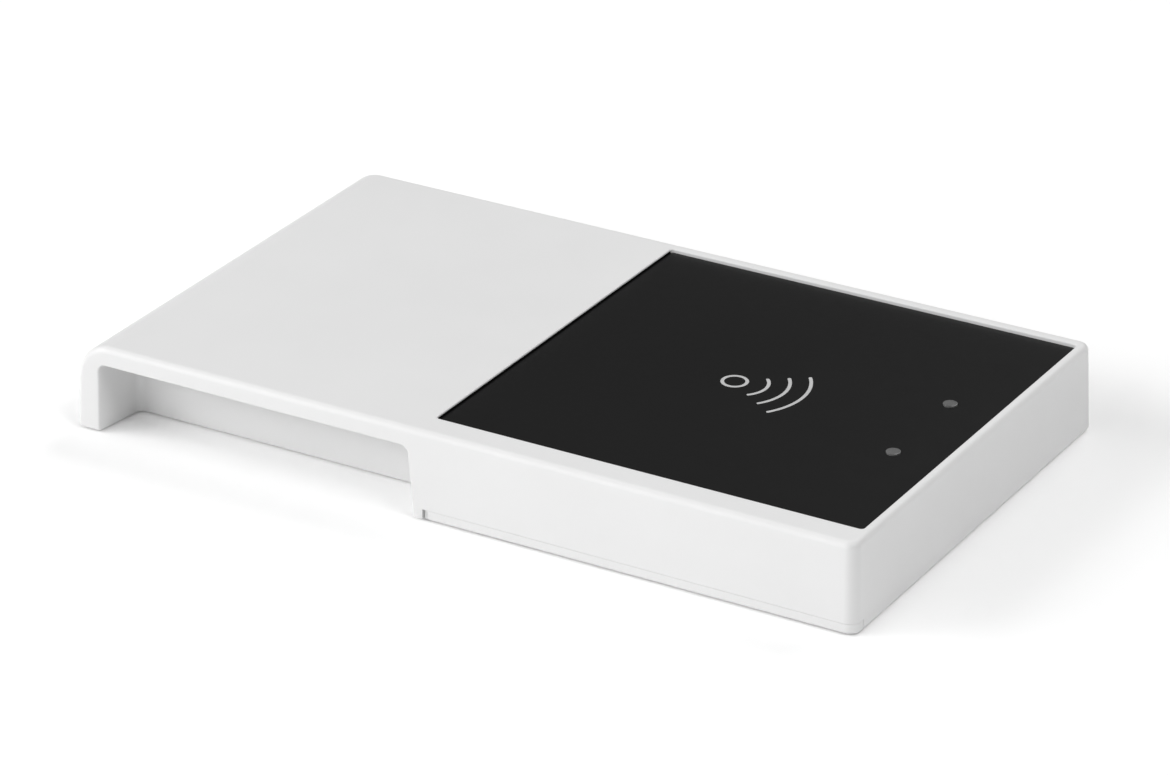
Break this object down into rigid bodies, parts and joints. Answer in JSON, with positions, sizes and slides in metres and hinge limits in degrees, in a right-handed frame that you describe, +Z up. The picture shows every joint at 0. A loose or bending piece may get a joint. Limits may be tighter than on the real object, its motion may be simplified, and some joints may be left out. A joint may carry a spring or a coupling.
{
  "type": "contactless ticket validator",
  "caption": "Flat white desktop ticket validator with a sunk black contactless reading panel, status lamps and a cable bay in the front edge.",
  "frame": {"origin": "on the table, under the middle of the housing, level with the undersides of the feet", "axes": "+X along the long side towards the reading panel's end, +Y to the rear, -Y to the side with the cable bay, +Z up"},
  "size_m": [0.144, 0.0844, 0.0155],
  "materials": {
    "white_plastic": "fine satin texture",
    "panel_plastic": "smooth satin black",
    "gasket_foam": "matt",
    "smoked_lens": "clear smoked",
    "led_body": "matt with a yellow window",
    "foot_rubber": "matt",
    "label_film": "satin blank film",
    "screw_steel": "zinc plated",
    "board_laminate": "green solder mask",
    "loop_copper": "bare copper",
    "ferrite": "matt grey",
    "plated_sheet": "tin plated",
    "capacitor_can": "satin",
    "chip_resin": "matt black",
    "connector_plastic": "matt black",
    "sam_plastic": "satin"
  },
  "bodies": {
    "root": {"top_cover": "white_plastic", "base_plate": "white_plastic", "reading_panel": "panel_plastic", "panel_gasket": "gasket_foam", "lamp_lens_rear": "smoked_lens", "lamp_lens_front": "smoked_lens", "lamp_led_rear": "led_body", "lamp_led_front": "led_body", "foot_rear_left": "foot_rubber", "foot_rear_right": "foot_rubber", "foot_front_left": "foot_rubber", "foot_front_right": "foot_rubber", "type_label": "label_film", "case_screw_rear_left": "screw_steel", "case_screw_rear_right": "screw_steel", "case_screw_front_left": "screw_steel", "case_screw_front_right": "screw_steel", "board_screw_rear_left": "screw_steel", "board_screw_rear_right": "screw_steel", "board_screw_front_left": "screw_steel", "board_screw_front_right": "screw_steel", "main_board": "board_laminate", "antenna_board": "board_laminate", "antenna_loop": "loop_copper", "ferrite_sheet": "ferrite", "power_inductor": "ferrite", "shield_can": "plated_sheet", "clock_crystal": "plated_sheet", "cable_socket_shell": "plated_sheet", "smoothing_capacitor_1": "capacitor_can", "smoothing_capacitor_2": "capacitor_can", "reader_chip": "chip_resin", "controller_chip": "chip_resin", "power_regulator": "chip_resin", "antenna_header": "connector_plastic", "cable_socket_tongue": "connector_plastic", "sam_holder": "connector_plastic", "sounder": "connector_plastic", "sam_card": "sam_plastic"}
  },
  "joints": []
}
